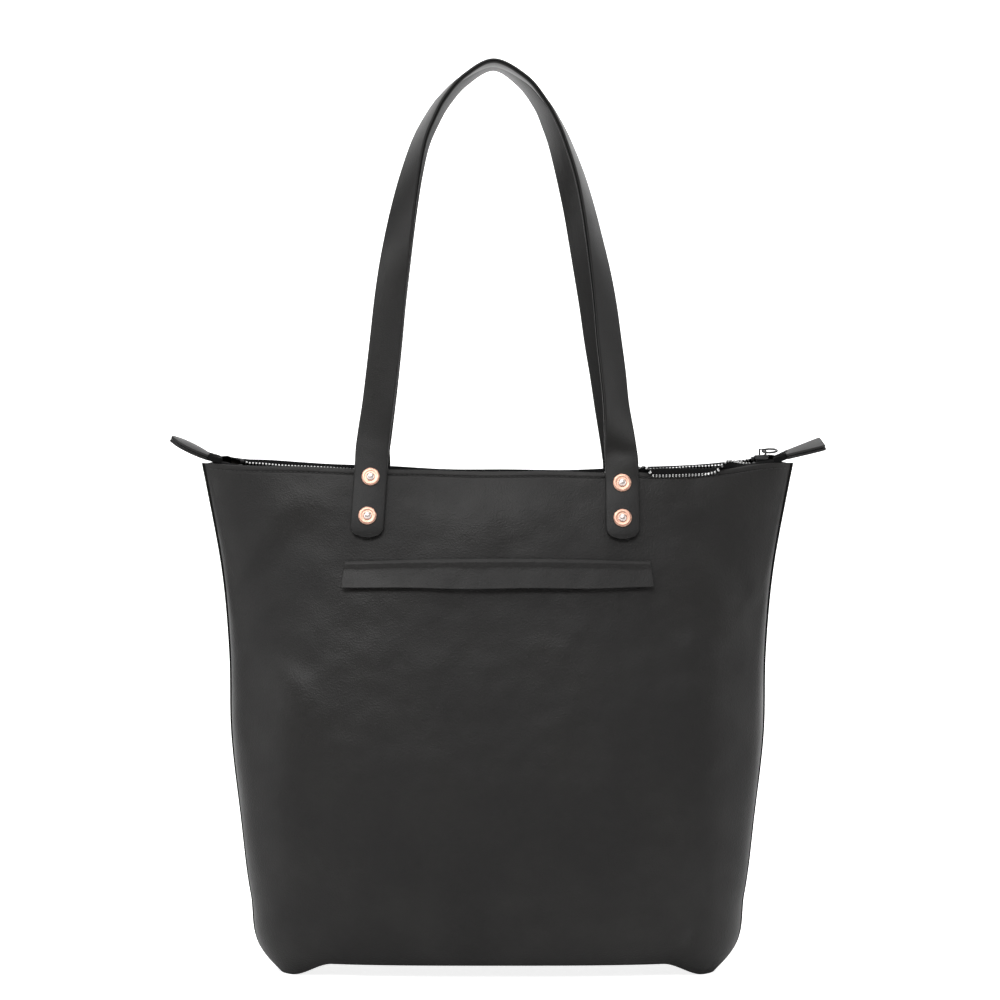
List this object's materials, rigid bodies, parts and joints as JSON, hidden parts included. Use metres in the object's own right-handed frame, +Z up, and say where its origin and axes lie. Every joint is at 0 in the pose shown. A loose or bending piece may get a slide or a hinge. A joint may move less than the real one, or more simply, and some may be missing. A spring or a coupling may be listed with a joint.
{
  "type": "zip top tote bag",
  "caption": "Leather zip-top tote used as a changing bag: open mouth, looped straps riveted to the walls, zip with end tabs and a welted front pocket.",
  "frame": {"origin": "on the floor under the middle of the bag", "axes": "+Z up from the floor to the handles, the front wall faces -Y, X runs across the bag"},
  "size_m": [0.5045, 0.137, 0.6988],
  "materials": {
    "body_leather": "matte",
    "strap_leather": "satin",
    "suede_facing": "suede",
    "pouch_cloth": "woven",
    "zip_tape": "woven",
    "zip_metal": "polished",
    "nickel": "polished",
    "copper": "polished copper"
  },
  "bodies": {
    "bag": {"front_panel": "body_leather", "back_panel": "body_leather", "front_rim_facing": "suede_facing", "back_rim_facing": "suede_facing", "front_zip_tape": "zip_tape", "back_zip_tape": "zip_tape", "front_zip_teeth": "zip_metal", "back_zip_teeth": "zip_metal", "front_zip_stop": "nickel", "back_zip_stop": "nickel", "front_strap_end_left": "strap_leather", "front_strap_end_right": "strap_leather", "back_strap_end_left": "strap_leather", "back_strap_end_right": "strap_leather", "front_rivet_left_upper": "copper", "front_rivet_left_lower": "copper", "front_rivet_right_upper": "copper", "front_rivet_right_lower": "copper", "back_rivet_left_upper": "copper", "back_rivet_left_lower": "copper", "back_rivet_right_upper": "copper", "back_rivet_right_lower": "copper", "front_burr_left_upper": "copper", "front_burr_left_lower": "copper", "front_burr_right_upper": "copper", "front_burr_right_lower": "copper", "back_burr_left_upper": "copper", "back_burr_left_lower": "copper", "back_burr_right_upper": "copper", "back_burr_right_lower": "copper", "pocket_front_layer": "pouch_cloth", "pocket_back_layer": "pouch_cloth"},
    "front_handle": {"front_handle_loop": "strap_leather"},
    "back_handle": {"back_handle_loop": "strap_leather"},
    "slider": {"zip_slider": "nickel"},
    "ring": {"slider_ring": "nickel"},
    "left_tab": {"left_tab_top": "body_leather", "left_tape_tail": "zip_tape", "left_tab_bottom": "body_leather"},
    "right_tab": {"right_tab_top": "body_leather", "right_tape_tail": "zip_tape", "right_tab_bottom": "body_leather"},
    "flap": {"pocket_flap": "body_leather"}
  },
  "joints": [
    {"name": "front_handle_swing", "type": "hinge", "parent": "bag", "child": "front_handle", "pos_m": [0, -0.0258, 0.3914], "axis": [1, 0, 0], "range_deg": [0, 140]},
    {"name": "back_handle_swing", "type": "hinge", "parent": "bag", "child": "back_handle", "pos_m": [0, 0.0258, 0.3914], "axis": [1, 0, 0], "range_deg": [-140, 0]},
    {"name": "zip_slide", "type": "slide", "parent": "bag", "child": "slider", "axis": [1, 0, 0], "range_m": [-0.39, 0]},
    {"name": "slider_ring_swing", "type": "hinge", "parent": "slider", "child": "ring", "pos_m": [0.204, 0, 0.3982], "axis": [0, 1, 0], "range_deg": [-150, 0]},
    {"name": "left_tab_flex", "type": "hinge", "parent": "bag", "child": "left_tab", "pos_m": [-0.2215, 0, 0.3955], "axis": [0, 1, 0], "range_deg": [-26, 45]},
    {"name": "right_tab_flex", "type": "hinge", "parent": "bag", "child": "right_tab", "pos_m": [0.2215, 0, 0.3955], "axis": [0, -1, 0], "range_deg": [-14, 45]},
    {"name": "pocket_flap_lift", "type": "hinge", "parent": "bag", "child": "flap", "pos_m": [0, -0.0417, 0.315], "axis": [1, 0, 0], "range_deg": [-110, 0]}
  ]
}
